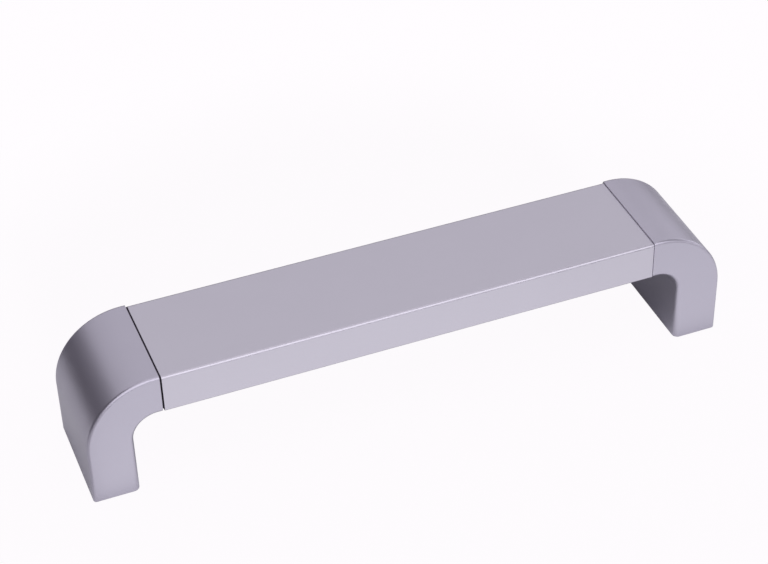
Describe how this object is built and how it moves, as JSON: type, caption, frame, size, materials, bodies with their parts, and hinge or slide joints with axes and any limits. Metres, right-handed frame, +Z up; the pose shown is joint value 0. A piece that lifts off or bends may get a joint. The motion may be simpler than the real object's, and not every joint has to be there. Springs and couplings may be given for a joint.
{
  "type": "cabinet handle",
  "caption": "Strap-style cabinet handle: a flat hollow aluminium bar carried between curved cast legs that are screwed on from behind through their feet.",
  "frame": {"origin": "midway between the two feet, on the face that they stand on", "axes": "+X along the bar towards the right leg, +Y across it towards the back, +Z up from the feet to the bar"},
  "size_m": [0.1376, 0.0242, 0.0273],
  "materials": {
    "bar_finish": "satin silver, fine metallic grain",
    "leg_finish": "satin silver paint on a die casting"
  },
  "bodies": {
    "root": {"handle_bar": "bar_finish", "left_leg": "leg_finish", "right_leg": "leg_finish"}
  },
  "joints": []
}
